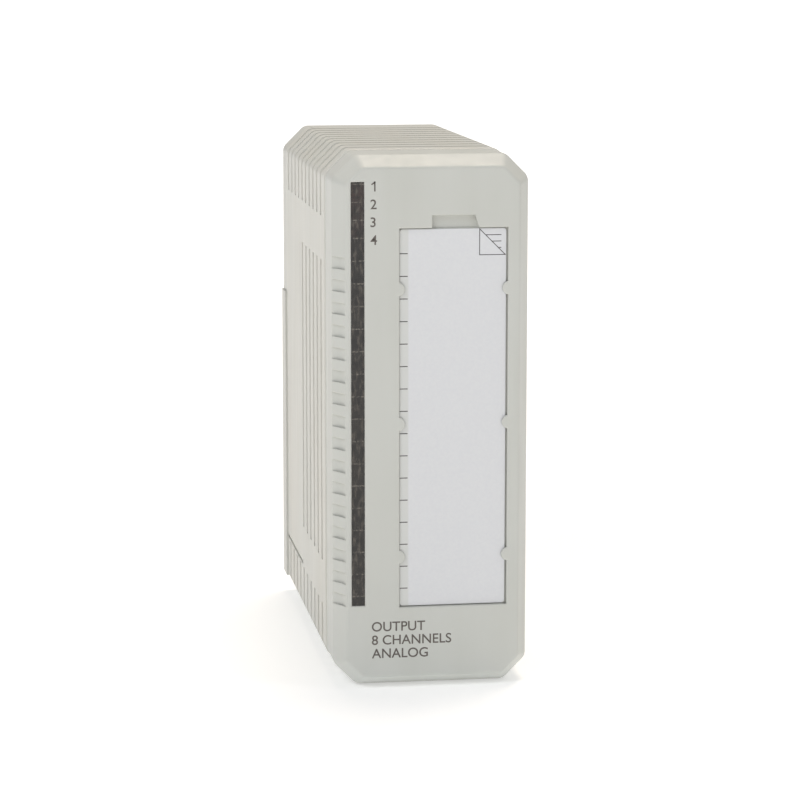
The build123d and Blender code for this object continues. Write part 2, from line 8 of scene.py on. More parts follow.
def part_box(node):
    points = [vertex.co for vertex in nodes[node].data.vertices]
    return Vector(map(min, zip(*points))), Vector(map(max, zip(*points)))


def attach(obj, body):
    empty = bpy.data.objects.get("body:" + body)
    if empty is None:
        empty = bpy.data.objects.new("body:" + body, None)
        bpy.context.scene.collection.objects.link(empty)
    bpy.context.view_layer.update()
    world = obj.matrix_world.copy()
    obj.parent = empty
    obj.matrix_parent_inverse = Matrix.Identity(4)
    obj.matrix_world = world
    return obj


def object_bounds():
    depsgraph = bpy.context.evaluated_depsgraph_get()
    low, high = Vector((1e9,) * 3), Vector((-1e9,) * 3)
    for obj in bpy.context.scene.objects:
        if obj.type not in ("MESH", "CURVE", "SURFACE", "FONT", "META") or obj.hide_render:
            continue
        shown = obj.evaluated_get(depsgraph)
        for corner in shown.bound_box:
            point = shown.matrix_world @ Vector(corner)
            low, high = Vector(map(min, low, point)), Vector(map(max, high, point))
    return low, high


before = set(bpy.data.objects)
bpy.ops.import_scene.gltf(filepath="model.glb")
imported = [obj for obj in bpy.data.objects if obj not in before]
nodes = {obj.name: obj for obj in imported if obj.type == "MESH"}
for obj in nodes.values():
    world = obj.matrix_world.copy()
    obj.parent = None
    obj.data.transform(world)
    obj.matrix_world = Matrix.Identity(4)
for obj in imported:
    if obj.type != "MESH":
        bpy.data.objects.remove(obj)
cadBounds = [list(corner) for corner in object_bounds()]
mm = 0.001
coverBody = "front_cover_body"
housingBody = "housing"
print("frame loaded:", len(nodes), "nodes")


def addNode(tree, kind, links=None, out=0, **settings):
    # a link is a socket's name or number with a plain value or another node's output
    node = tree.nodes.new(kind)
    for name, value in settings.items():
        setattr(node, name, value)
    for socket, value in (links or {}).items():
        if isinstance(value, bpy.types.NodeSocket):
            tree.links.new(value, node.inputs[socket])
        else:
            node.inputs[socket].default_value = value
    return node.outputs[out] if node.outputs else node


def hexColour(text):
    # sRGB hex to the linear colour that a socket holds
    values = [int(text[i:i + 2], 16) / 255 for i in (1, 3, 5)]
    linear = [v / 12.92 if v <= 0.04045 else ((v + 0.055) / 1.055) ** 2.4 for v in values]
    return (*linear, 1.0)


def startFinish(name):
    material = bpy.data.materials.new(name)
    material.use_nodes = True
    tree = material.node_tree
    tree.nodes.clear()
    return material, tree, addNode(tree, "ShaderNodeTexCoord", out="Object")


def closeFinish(material, shaderInputs):
    tree = material.node_tree
    surface = addNode(tree, "ShaderNodeBsdfPrincipled", shaderInputs)
    addNode(tree, "ShaderNodeOutputMaterial", {"Surface": surface})
    return material


noiseSpan = (0.32, 0.68)    # a noise texture stays mostly between these
edgeSpan = (0.995, 0.86)    # lean of the softened normal, from clear of an edge to on it


def mottle(tree, coords, size, low=0.0, high=1.0, detail=3.0):
    # blotches of one size in metres, spread between two values
    blotch = addNode(tree, "ShaderNodeTexNoise", {"Vector": coords, "Scale": 1 / size, "Detail": detail})
    return addNode(tree, "ShaderNodeMapRange", {
        "Value": blotch, "From Min": noiseSpan[0], "From Max": noiseSpan[1], "To Min": low, "To Max": high})


def softEdges(tree, radius):
    # softens a sharp moulded edge to the light, and says how near to an edge a point is
    rounded = addNode(tree, "ShaderNodeBevel", {"Radius": radius}, samples=6)
    flat = addNode(tree, "ShaderNodeNewGeometry", out="Normal")
    turn = addNode(tree, "ShaderNodeVectorMath", {
        0: rounded, 1: flat}, out="Value", operation="DOT_PRODUCT")
    share = addNode(tree, "ShaderNodeMapRange", {
        "Value": turn, "From Min": edgeSpan[0], "From Max": edgeSpan[1]})
    return rounded, share


# What the housing plastic looks like; the three mouldings share it and differ in tone.
absLook = {
    # the pale edge tone is partly edge wear and partly a painted highlight; the grey-brown tone is painted
    # shade for grooves and recesses
    "base": "#cdcfca", "shade": "#c9cbc5", "streak": "#d2d4d0", "rubbedAndLitEdge": "#e9e8e2", "dustColour": "#8a857a",
    "toneSize": 26 * mm, "streakSize": 9 * mm, "scuffSize": 2.2 * mm,
    "grainSize": 0.3 * mm,      # the eroded grain is nearer 0.1 mm, too fine to show
    "grainDepth": 0.005 * mm, "sinkDepth": 0.03 * mm, "edgeRadius": 0.3 * mm,
    # reach and strength of the painted shade in grooves and recesses
    "dustReach": 1.5 * mm, "dust": 0.16, "dustDeep": 0.25, "dustShallow": 0.9,
    "roughLow": 0.4, "roughHigh": 0.54, "rubAndHighlight": 0.5, "edgePolish": 0.12,
}


def mouldedAbs(name, **changes):
    # Injection-moulded ABS from a spark-eroded tool: an even satin skin with a trace of flow
    # streaks, glossier and paler where edges are handled, the paleness partly a painted highlight, and
    # painted shade darkening the grooves.
    look = {**absLook, **changes}
    material, tree, coords = startFinish(name)
    tone = mottle(tree, coords, look["toneSize"], detail=2.0)
    colour = addNode(tree, "ShaderNodeMix", {
        0: tone, 6: hexColour(look["base"]), 7: hexColour(look["shade"])}, out=2, data_type="RGBA")
    flow = addNode(tree, "ShaderNodeMapping", {"Vector": coords, "Scale": (1.0, 0.35, 0.12)})
    streak = mottle(tree, flow, look["streakSize"], 0.0, 0.5, 4.0)
    colour = addNode(tree, "ShaderNodeMix", {
        0: streak, 6: colour, 7: hexColour(look["streak"])}, out=2, data_type="RGBA")
    rounded, edge = softEdges(tree, look["edgeRadius"])
    # edges lightened toward the pale tone: partly edge wear, partly a painted highlight
    rubbedAndLitEdge = addNode(tree, "ShaderNodeMath", {0: edge, 1: look["rubAndHighlight"]}, operation="MULTIPLY")
    colour = addNode(tree, "ShaderNodeMix", {
        0: rubbedAndLitEdge, 6: colour, 7: hexColour(look["rubbedAndLitEdge"])}, out=2, data_type="RGBA")
    # painted shade: grooves and recesses darkened toward grey-brown where ambient occlusion finds them closed
    # in
    openness = addNode(tree, "ShaderNodeAmbientOcclusion", {
        "Distance": look["dustReach"]}, out="AO", samples=6)
    dust = addNode(tree, "ShaderNodeMapRange", {
        "Value": openness, "From Min": look["dustDeep"], "From Max": look["dustShallow"],
        "To Min": look["dust"], "To Max": 0.0})
    colour = addNode(tree, "ShaderNodeMix", {
        0: dust, 6: colour, 7: hexColour(look["dustColour"])}, out=2, data_type="RGBA")
    grain = mottle(tree, coords, look["grainSize"])
    scuff = addNode(tree, "ShaderNodeMapping", {
        "Vector": coords, "Rotation": (0.4, 0.3, 0.0), "Scale": (1.0, 1.0, 0.06)})
    rough = mottle(tree, scuff, look["scuffSize"], look["roughLow"], look["roughHigh"], 5.0)
    polish = addNode(tree, "ShaderNodeMath", {0: edge, 1: look["edgePolish"]}, operation="MULTIPLY")
    rough = addNode(tree, "ShaderNodeMath", {0: rough, 1: polish}, operation="SUBTRACT")
    sink = addNode(tree, "ShaderNodeBump", {"Height": tone, "Distance": look["sinkDepth"], "Normal": rounded})
    normal = addNode(tree, "ShaderNodeBump", {
        "Height": grain, "Distance": look["grainDepth"], "Normal": sink})
    return closeFinish(material, {
        "Base Color": colour, "Roughness": rough, "Normal": normal, "IOR": 1.53, "Specular IOR Level": 0.45})


windowLook = {
    "lampStart": 0.75 * mm, "lampPitch": 3.9 * mm, "lampCells": 3, "cellPitch": 4.97 * mm,
    "lampSeed": 10.0, "cellSeed": 40.0, "wallShare": 0.06, "wallBreak": 0.5 * mm,
    "blotch": 1.1 * mm, "scratch": 0.25 * mm, "ripple": 5 * mm, "rippleDepth": 0.02 * mm,
    "glint": 0.7 * mm, "glintLow": 0.5, "glintHigh": 0.7, "glintShare": 0.7,
}


def smokedWindow():
    # Smoked polycarbonate moulded over a strip of lamp cells: glossy and nearly black, brown
    # over the lamps, with the cell walls faint behind it and each cell a different depth.
    look = windowLook
    material, tree, coords = startFinish("smoked polycarbonate")
    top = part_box("led_window")[1][2]
    zone = look["lampStart"] + look["lampCells"] * look["lampPitch"]
    height = addNode(tree, "ShaderNodeSeparateXYZ", {0: coords}, out="Z")
    down = addNode(tree, "ShaderNodeMath", {0: top, 1: height}, operation="SUBTRACT")
    isLamp = addNode(tree, "ShaderNodeMath", {0: down, 1: zone}, operation="LESS_THAN")
    lampStep = addNode(tree, "ShaderNodeMapRange", {
        "Value": down, "From Min": look["lampStart"], "From Max": look["lampStart"] + look["lampPitch"],
        "To Min": look["lampSeed"], "To Max": look["lampSeed"] + 1}, clamp=False)
    cellStep = addNode(tree, "ShaderNodeMapRange", {
        "Value": down, "From Min": zone, "From Max": zone + look["cellPitch"],
        "To Min": look["cellSeed"], "To Max": look["cellSeed"] + 1}, clamp=False)
    step = addNode(tree, "ShaderNodeMix", {0: isLamp, 2: cellStep, 3: lampStep})
    cell = addNode(tree, "ShaderNodeMath", {0: step}, operation="FLOOR")
    within = addNode(tree, "ShaderNodeMath", {0: step}, operation="FRACT")
    shade = addNode(tree, "ShaderNodeTexWhiteNoise", {"W": cell}, noise_dimensions="1D")
    grey = addNode(tree, "ShaderNodeMix", {
        0: shade, 6: hexColour("#1c1a19"), 7: hexColour("#302d29")}, out=2, data_type="RGBA")
    brown = addNode(tree, "ShaderNodeMix", {
        0: shade, 6: hexColour("#281c1a"), 7: hexColour("#382824")}, out=2, data_type="RGBA")
    colour = addNode(tree, "ShaderNodeMix", {0: isLamp, 6: grey, 7: brown}, out=2, data_type="RGBA")
    depth = mottle(tree, coords, look["blotch"], 0.0, 1.0, 6.0)
    colour = addNode(tree, "ShaderNodeMix", {
        0: depth, 6: colour, 7: hexColour("#0b0a0a")}, out=2, data_type="RGBA")
    upright = addNode(tree, "ShaderNodeMapping", {"Vector": coords, "Scale": (1.0, 1.0, 0.3)})
    glint = addNode(tree, "ShaderNodeTexNoise", {
        "Vector": upright, "Scale": 1 / look["glint"], "Detail": 3.0})
    glint = addNode(tree, "ShaderNodeMapRange", {
        "Value": glint, "From Min": look["glintLow"], "From Max": look["glintHigh"],
        "To Max": look["glintShare"]})
    colour = addNode(tree, "ShaderNodeMix", {
        0: glint, 6: colour, 7: hexColour("#5d574f")}, out=2, data_type="RGBA")
    wallLine = addNode(tree, "ShaderNodeMath", {0: within, 1: look["wallShare"]}, operation="LESS_THAN")
    broken = mottle(tree, coords, look["wallBreak"], -0.2, 0.6)
    wallLine = addNode(tree, "ShaderNodeMath", {0: wallLine, 1: broken}, operation="MULTIPLY")
    colour = addNode(tree, "ShaderNodeMix", {
        0: wallLine, 6: colour, 7: hexColour("#8b857c")}, out=2, data_type="RGBA")
    along = addNode(tree, "ShaderNodeMapping", {"Vector": coords, "Scale": (1.0, 1.0, 0.05)})
    rough = mottle(tree, along, look["scratch"], 0.12, 0.3, 4.0)
    ripple = mottle(tree, coords, look["ripple"])
    normal = addNode(tree, "ShaderNodeBump", {"Height": ripple, "Distance": look["rippleDepth"]})
    return closeFinish(material, {
        "Base Color": colour, "Roughness": rough, "Normal": normal, "IOR": 1.585,
        "Coat Weight": 0.15, "Coat Roughness": 0.05, "Specular IOR Level": 0.4})


cardLook = {
    "margin": 1.9 * mm, "white": "#dfe1e4", "fibreTone": "#dcdee2", "leftShadowTone": "#d6d8d6",
    "fibre": 0.6 * mm, "fibreDepth": 0.004 * mm,
}


def coatedCard():
    # Coated card under a thin clear film: cool white and smooth, greyer in the ruled margin, where a painted
    # shadow lies along its left edge.
    look = cardLook
    material, tree, coords = startFinish("coated card")
    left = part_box("label_card")[0][0]
    across = addNode(tree, "ShaderNodeSeparateXYZ", {0: coords}, out="X")
    inside = addNode(tree, "ShaderNodeMapRange", {
        "Value": across, "From Min": left + look["margin"] * 0.9, "From Max": left + look["margin"] * 1.1})
    fibre = mottle(tree, coords, look["fibre"], detail=5.0)
    white = addNode(tree, "ShaderNodeMix", {
        0: fibre, 6: hexColour(look["white"]), 7: hexColour(look["fibreTone"])}, out=2, data_type="RGBA")
    # painted shadow: the strip along the card's left edge greyed
    colour = addNode(tree, "ShaderNodeMix", {
        0: inside, 6: hexColour(look["leftShadowTone"]), 7: white}, out=2, data_type="RGBA")
    rough = mottle(tree, coords, look["fibre"] * 3, 0.36, 0.5)
    normal = addNode(tree, "ShaderNodeBump", {"Height": fibre, "Distance": look["fibreDepth"]})
    return closeFinish(material, {
        "Base Color": colour, "Roughness": rough, "Normal": normal, "IOR": 1.5,
        "Coat Weight": 0.25, "Coat Roughness": 0.12})


castLook = {"toneGrains": 14, "edgeRadius": 0.12 * mm, "edgeHighlight": 0.12, "edgeHighlightTone": "#d8d8d8"}
metalLook = {"cloudLines": 20, "edgeRadius": 0.08 * mm, "wearAndHighlight": 0.3, "wornHighlightTone": "#f2f2f0",
             "lineDepth": 0.003 * mm}


def castPlastic(name, first, second, grainSize, roughLow, roughHigh, depth, shaderValues):
    # a moulded or cast piece: two close tones, a grain, and edges a little paler as a painted highlight
    material, tree, coords = startFinish(name)
    tone = mottle(tree, coords, grainSize * castLook["toneGrains"], detail=2.0)
    colour = addNode(tree, "ShaderNodeMix", {
        0: tone, 6: hexColour(first), 7: hexColour(second)}, out=2, data_type="RGBA")
    rounded, edge = softEdges(tree, castLook["edgeRadius"])
    # painted highlight: edges lifted toward a pale grey
    lift = addNode(tree, "ShaderNodeMath", {0: edge, 1: castLook["edgeHighlight"]}, operation="MULTIPLY")
    colour = addNode(tree, "ShaderNodeMix", {
        0: lift, 6: colour, 7: hexColour(castLook["edgeHighlightTone"])}, out=2, data_type="RGBA")
    rough = mottle(tree, coords, grainSize, roughLow, roughHigh, 4.0)
    grain = mottle(tree, coords, grainSize)
    normal = addNode(tree, "ShaderNodeBump", {"Height": grain, "Distance": depth, "Normal": rounded})
    return closeFinish(material, {"Base Color": colour, "Roughness": rough, "Normal": normal, **shaderValues})


def bareMetal(name, first, second, lineSize, roughLow, roughHigh, lie=(1.0, 1.0, 1.0)):
    # plated, rolled or turned metal: fine lines along its lie, a slightly uneven shine, and edges paler with
    # wear and a painted highlight
    material, tree, coords = startFinish(name)
    cloud = mottle(tree, coords, lineSize * metalLook["cloudLines"], detail=2.0)
    colour = addNode(tree, "ShaderNodeMix", {
        0: cloud, 6: hexColour(first), 7: hexColour(second)}, out=2, data_type="RGBA")
    rounded, edge = softEdges(tree, metalLook["edgeRadius"])
    # edges brightened toward a pale tone: partly edge wear, partly a painted highlight
    wornAndLit = addNode(tree, "ShaderNodeMath", {0: edge, 1: metalLook["wearAndHighlight"]}, operation="MULTIPLY")
    colour = addNode(tree, "ShaderNodeMix", {
        0: wornAndLit, 6: colour, 7: hexColour(metalLook["wornHighlightTone"])}, out=2, data_type="RGBA")
    along = addNode(tree, "ShaderNodeMapping", {"Vector": coords, "Scale": lie})
    rough = mottle(tree, along, lineSize, roughLow, roughHigh, 4.0)
    lines = mottle(tree, along, lineSize)
    normal = addNode(tree, "ShaderNodeBump", {
        "Height": lines, "Distance": metalLook["lineDepth"], "Normal": rounded})
    return closeFinish(material, {
        "Base Color": colour, "Roughness": rough, "Normal": normal, "Metallic": 1.0})


boardLook = {
    "trackPitch": 1.27 * mm, "trackShare": 0.3, "patch": 9 * mm, "routing": 6 * mm, "routedAbove": 0.48,
    "cloud": 12 * mm, "via": 4.2 * mm, "viaShare": 0.07, "gloss": 3 * mm,
    "weave": 0.5 * mm, "weaveShare": 0.1, "relief": 0.03 * mm,
}


def solderMask():
    # Green solder mask over etched copper on epoxy glass: tracks stand up as paler green lines,
    # vias as small bright dots, and the glass cloth's weave is just felt in the gloss.
    look = boardLook
    material, tree, coords = startFinish("solder mask on epoxy glass")
    patch = addNode(tree, "ShaderNodeTexVoronoi", {
        "Vector": coords, "Scale": 1 / look["patch"]}, out="Color", distance="CHEBYCHEV")
    upright = addNode(tree, "ShaderNodeMath", {0: patch, 1: 0.5}, operation="GREATER_THAN")
    axes = addNode(tree, "ShaderNodeSeparateXYZ", {0: coords}).node.outputs
    level = addNode(tree, "ShaderNodeMath", {0: axes["X"], 1: axes["Y"]}, operation="ADD")
    rows = addNode(tree, "ShaderNodeMath", {0: axes["Z"], 1: look["trackPitch"]}, operation="DIVIDE")
    columns = addNode(tree, "ShaderNodeMath", {0: level, 1: look["trackPitch"]}, operation="DIVIDE")
    lines = addNode(tree, "ShaderNodeMix", {0: upright, 2: rows, 3: columns})
    lines = addNode(tree, "ShaderNodeMath", {0: lines}, operation="FRACT")
    track = addNode(tree, "ShaderNodeMath", {0: lines, 1: look["trackShare"]}, operation="LESS_THAN")
    routed = addNode(tree, "ShaderNodeTexNoise", {
        "Vector": coords, "Scale": 1 / look["routing"], "Detail": 1.0})
    routed = addNode(tree, "ShaderNodeMath", {0: routed, 1: look["routedAbove"]}, operation="GREATER_THAN")
    copper = addNode(tree, "ShaderNodeMath", {0: track, 1: routed}, operation="MULTIPLY")
    colour = addNode(tree, "ShaderNodeMix", {
        0: copper, 6: hexColour("#14502c"), 7: hexColour("#2a7440")}, out=2, data_type="RGBA")
    cloud = mottle(tree, coords, look["cloud"], 0.0, 0.4)
    colour = addNode(tree, "ShaderNodeMix", {
        0: cloud, 6: colour, 7: hexColour("#0e3d22")}, out=2, data_type="RGBA")
    dots = addNode(tree, "ShaderNodeTexVoronoi", {
        "Vector": coords, "Scale": 1 / look["via"], "Randomness": 0.8})
    via = addNode(tree, "ShaderNodeMath", {0: dots, 1: look["viaShare"]}, operation="LESS_THAN")
    colour = addNode(tree, "ShaderNodeMix", {
        0: via, 6: colour, 7: hexColour("#b9b49a")}, out=2, data_type="RGBA")
    rough = mottle(tree, coords, look["gloss"], 0.22, 0.36)
    weave = addNode(tree, "ShaderNodeTexChecker", {
        "Vector": coords, "Scale": 1 / look["weave"]}, out="Fac")
    weave = addNode(tree, "ShaderNodeMath", {0: weave, 1: look["weaveShare"]}, operation="MULTIPLY")
    height = addNode(tree, "ShaderNodeMath", {0: copper, 1: weave}, operation="ADD")
    normal = addNode(tree, "ShaderNodeBump", {"Height": height, "Distance": look["relief"]})
    return closeFinish(material, {
        "Base Color": colour, "Roughness": rough, "Normal": normal, "IOR": 1.52,
        "Coat Weight": 0.5, "Coat Roughness": 0.08})


coverAbs = mouldedAbs("moulded ABS, front cover")
# the housing's grooves get less painted shade
housingAbs = mouldedAbs("moulded ABS, housing", base="#d6d5ce", shade="#d1d0c8", dust=0.1)
rearAbs = mouldedAbs("moulded ABS, rear cover", base="#d0d0ca", shade="#cacac4")
windowPc = smokedWindow()
card = coatedCard()
mask = solderMask()
# pad-printed ink: flat warm grey, slightly open at its edges
ink = castPlastic("pad-printed ink", "#6a645f", "#5e5853", 0.12 * mm, 0.5, 0.62, 0.003 * mm, {"IOR": 1.5})
# offset-printed rules on the card: thinner and darker
rules = castPlastic("printed rules", "#4c4a4c", "#434143", 0.1 * mm, 0.5, 0.6, 0.002 * mm, {"IOR": 1.5})
# clear acrylic, polished in the tool, so it carries the lamp's light forward
acrylic = castPlastic(
    "clear acrylic", "#e8efef", "#dfe8e8", 2 * mm, 0.03, 0.06, 0.002 * mm,
    {"IOR": 1.49, "Transmission Weight": 0.85})
# glass-filled polyester: grey, matt, with the fibres near the surface
polyester = castPlastic(
    "glass-filled polyester", "#8f8c84", "#8a877f", 0.25 * mm, 0.45, 0.6, 0.004 * mm, {"IOR": 1.55})
# black nylon of the coding sockets: a soft shine
nylon = castPlastic("black nylon", "#26262a", "#1e1e21", 0.2 * mm, 0.38, 0.5, 0.006 * mm, {"IOR": 1.53})
# header mouldings: a harder, drier black
headerBlack = castPlastic(
    "black header nylon", "#1c1c1e", "#161617", 0.2 * mm, 0.4, 0.52, 0.006 * mm, {"IOR": 1.53})
# chip packages: matt transfer-moulded epoxy
epoxy = castPlastic("moulded epoxy", "#222224", "#19191b", 0.15 * mm, 0.5, 0.64, 0.01 * mm, {"IOR": 1.57})
# sintered ferrite: dark grey, granular
ferrite = castPlastic(
    "sintered ferrite", "#3b3b3e", "#2f2f32", 0.2 * mm, 0.5, 0.68, 0.012 * mm, {"IOR": 1.8})
# amber polyester tape round the winding, smooth and glossy
tape = castPlastic("polyester tape", "#c89a2e", "#b98720", 0.9 * mm, 0.16, 0.26, 0.01 * mm, {"IOR": 1.64})
# shrink sleeve over the cans: dark blue, glossy, slightly wrinkled
sleeve = castPlastic(
    "shrink sleeve", "#232c4f", "#1c2442", 0.8 * mm, 0.2, 0.32, 0.006 * mm, {"IOR": 1.54})
# lamp resin: water-clear with a milky core
lampResin = castPlastic(
    "clear lamp resin", "#eef0e6", "#e4e7da", 0.5 * mm, 0.08, 0.14, 0.002 * mm, {"IOR": 1.53})
# alumina body of a chip resistor or capacitor: tan and dry
alumina = castPlastic(
    "fired ceramic", "#a89274", "#8f7a5e", 0.15 * mm, 0.5, 0.66, 0.004 * mm, {"IOR": 1.7})
# screen-printed white legend lines on the boards
legendWhite = castPlastic(
    "board legend ink", "#e4e5df", "#d6d7d0", 0.15 * mm, 0.5, 0.62, 0.003 * mm, {"IOR": 1.5})
# bright zinc plate on steel: cool, a little yellow in places
zinc = bareMetal("bright zinc plate", "#c9cacb", "#bdbcb4", 0.15 * mm, 0.24, 0.38)
# nickel plate: warmer and smoother
nickel = bareMetal("nickel plate", "#cfcbc2", "#c3beb3", 0.15 * mm, 0.2, 0.32)
# gold flash on brass contacts
gold = bareMetal("gold flash on brass", "#e3bd6a", "#d8ae57", 0.1 * mm, 0.18, 0.28)
# rolled aluminium with its lines along the plate
aluminium = bareMetal("rolled aluminium", "#d2d4d6", "#c6c8ca", 0.3 * mm, 0.28, 0.42, (1.0, 1.0, 0.05))
# reflowed solder: bright, soft-edged
solder = bareMetal("reflowed solder", "#d4d5d6", "#c4c5c6", 0.2 * mm, 0.22, 0.36)
# enamelled copper wire: red-gold under a clear enamel
enamelledCopper = bareMetal("enamelled copper wire", "#c4713b", "#b4622f", 0.2 * mm, 0.2, 0.3)

nodeFinish = {
    "front_cover": coverAbs, "housing_sleeve": housingAbs, "rear_cover": rearAbs,
    "led_window": windowPc, "label_card": card, "light_guide": acrylic,
    "rear_cover_screws": zinc, "rear_connector_screws": zinc, "board_screws": zinc,
    "connector_board_screws": zinc, "rear_connector": polyester, "rear_contacts": gold,
    "coding_socket_lower": nylon, "coding_socket_upper": nylon,
    "main_board": mask, "output_board": mask, "connector_board": mask, "indicator_board": mask,
    "board_spacers": nickel, "clock_crystal": nickel, "heat_spreader": aluminium,
    "main_board_header": headerBlack, "output_board_header": headerBlack,
    "indicator_board_header": headerBlack, "transformer_bobbin": headerBlack,
    "status_leds": lampResin, "transformer_core": ferrite, "power_choke": ferrite,
    "transformer_winding": tape, "filter_capacitors": sleeve, "bus_controller": epoxy,
    "converter_chips": epoxy, "optocouplers": epoxy, "output_drivers": epoxy, "sense_resistors": epoxy,
}
for nodeName, finish in nodeFinish.items():
    for materialSlot in nodes[nodeName].material_slots:
        materialSlot.material = finish
print("finishes on", len(nodeFinish), "of", len(nodes), "nodes")


def placeMesh(name, mesh, material=None):
    piece = bpy.data.objects.new(name, mesh)
    bpy.context.scene.collection.objects.link(piece)
    if material is not None:
        mesh.materials.append(material)
    return piece


def rideOn(piece, body):
    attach(piece, body)


def boxOf(nodeName):
    low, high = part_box(nodeName)
    return Vector(low), Vector(high)


coverLow = boxOf("front_cover")[0]
cardLow, cardHigh = boxOf("label_card")
windowLow, windowHigh = boxOf("led_window")


def startTree(name, inputs):
    # Geometry Nodes tree with named inputs, each with its socket's kind
    tree = bpy.data.node_groups.new(name, "GeometryNodeTree")
    tree.interface.new_socket("Geometry", in_out="INPUT", socket_type="NodeSocketGeometry")
    tree.interface.new_socket("Geometry", in_out="OUTPUT", socket_type="NodeSocketGeometry")
    for label, kind in inputs.items():
        tree.interface.new_socket(label, in_out="INPUT", socket_type="NodeSocket" + kind)
    return tree, addNode(tree, "NodeGroupInput").node.outputs


def closeTree(tree, geometry, material):
    real = addNode(tree, "GeometryNodeRealizeInstances", {"Geometry": geometry})
    painted = addNode(tree, "GeometryNodeSetMaterial", {"Geometry": real, "Material": material})
    addNode(tree, "NodeGroupOutput", {"Geometry": painted})


def growPiece(name, tree, values, points=()):
    # runs the tree over the given points once, and keeps the result as a plain mesh
    seed = bpy.data.meshes.new(name + "Seed")
    seed.from_pydata([tuple(p) for p in points], [], [])
    maker = placeMesh(name + "Maker", seed)
    modifier = maker.modifiers.new("grow", "NODES")
    modifier.node_group = tree
    for item in tree.interface.items_tree:
        if item.in_out == "INPUT" and item.name in values:
            modifier[item.identifier] = values[item.name]
    graph = bpy.context.evaluated_depsgraph_get()
    mesh = bpy.data.meshes.new_from_object(maker.evaluated_get(graph))
    maker.modifiers.remove(modifier)
    bpy.data.objects.remove(maker)
    return placeMesh(name, mesh)


cardPrint = {
    "divisions": 16, "pitch": 4.97 * mm, "firstDrop": 5.3 * mm, "length": 1.75 * mm, "line": 0.2 * mm,
    "ink": 0.012 * mm, "corner": 5.7 * mm, "cornerInset": 0.2 * mm, "cornerLine": 0.17 * mm,
    "cornerDrop": 0.1 * mm, "cornerRules": 3, "rulePitch": 1.4 * mm, "firstRule": 0.95, "ruleReach": 0.83,
}


def cardDivisions():
    # sixteen short rules down the card's margin, one for each half of a channel
    tree, given = startTree("cardDivisionTree", {
        "Count": "Int", "Start": "Vector", "Step": "Vector", "Bar": "Vector"})
    column = addNode(tree, "GeometryNodeMeshLine", {
        "Count": given["Count"], "Start Location": given["Start"], "Offset": given["Step"]}, mode="OFFSET")
    bar = addNode(tree, "GeometryNodeMeshCube", {"Size": given["Bar"]})
    copies = addNode(tree, "GeometryNodeInstanceOnPoints", {"Points": column, "Instance": bar})
    closeTree(tree, copies, rules)
    return growPiece("cardDivisions", tree, {
        "Count": cardPrint["divisions"],
        "Start": (cardLow.x + cardPrint["length"] / 2, cardLow.y, cardHigh.z - cardPrint["firstDrop"]),
        "Step": (0, 0, -cardPrint["pitch"]),
        "Bar": (cardPrint["length"], cardPrint["ink"], cardPrint["line"])})


def printedStrokes(name, lines, y, thickness, inkDepth, material):
    # flat printed strokes between pairs of points given in X and Z
    bm = bmesh.new()
    for start, end in lines:
        start = Vector((start[0], y, start[1]))
        end = Vector((end[0], y, end[1]))
        run = (end - start).normalized() * thickness / 2
        side = Vector((-run.z, 0, run.x))
        outline = (start - run + side, end + run + side, end + run - side, start - run - side)
        front = [bm.verts.new(p - Vector((0, inkDepth, 0))) for p in outline]
        back = [bm.verts.new(p + Vector((0, inkDepth, 0))) for p in outline]
        bm.faces.new(front)
        bm.faces.new(list(reversed(back)))
        for i in range(4):
            bm.faces.new((front[i], back[i], back[i - 3], front[i - 3]))
    bmesh.ops.recalc_face_normals(bm, faces=bm.faces)
    mesh = bpy.data.meshes.new(name)
    bm.to_mesh(mesh)
    bm.free()
    return placeMesh(name, mesh, material)


def cardCornerMark():
    # set-square mark at the card's top corner: a triangle with three rules beside it
    size = cardPrint["corner"]
    left = cardHigh.x - cardPrint["cornerInset"] - size
    top = cardHigh.z - cardPrint["cornerDrop"]
    foot = top - size
    lines = [
        ((left, top), (left, foot)), ((left, foot), (left + size, foot)),
        ((left, top), (left + size, foot))]
    for n in range(cardPrint["cornerRules"]):
        drop = cardPrint["rulePitch"] * (n + cardPrint["firstRule"])
        lines.append(((left + drop, top - drop), (left + size * cardPrint["ruleReach"], top - drop)))
    return printedStrokes(
        "cardCornerMark", lines, cardLow.y, cardPrint["cornerLine"], cardPrint["ink"] / 2, rules)


rideOn(cardDivisions(), coverBody)
rideOn(cardCornerMark(), coverBody)
print("card printed")

facePrint = {
    "ink": 0.01 * mm, "bold": 0.03 * mm,
    "height": 2.15 * mm, "column": 0.95 * mm, "firstDrop": -0.3 * mm, "pitch": 3.88 * mm,
    "legend": ("OUTPUT", "8 CHANNELS", "ANALOG"), "legendHeight": 2.2 * mm, "legendPitch": 3.05 * mm,
    "legendColumn": 1.1 * mm, "legendDrop": 3.35 * mm, "capShare": 0.72,
    "flagShare": 0.28, "stemShare": 1.6, "stemEnd": 0.15 * mm, "stroke": 0.3 * mm,
}


def printedWord(name, words, x, z, height):
    # generic wording or a numeral on the face, its top left corner at x and z
    curve = bpy.data.curves.new(name + "Curve", "FONT")
    curve.body = words
    curve.size = height / facePrint["capShare"]
    curve.extrude = facePrint["ink"]
    curve.offset = facePrint["bold"]
    curve.resolution_u = 6
    maker = placeMesh(name + "Maker", curve)
    graph = bpy.context.evaluated_depsgraph_get()
    mesh = bpy.data.meshes.new_from_object(maker.evaluated_get(graph))
    bpy.data.objects.remove(maker)
    mesh.transform(Matrix.Rotation(math.pi / 2, 4, "X"))
    left = min(v.co.x for v in mesh.vertices)
    top = max(v.co.z for v in mesh.vertices)
    mesh.transform(Matrix.Translation((x - left, coverLow.y, z - top)))
    mesh.materials.clear()
    return placeMesh(name, mesh, ink)


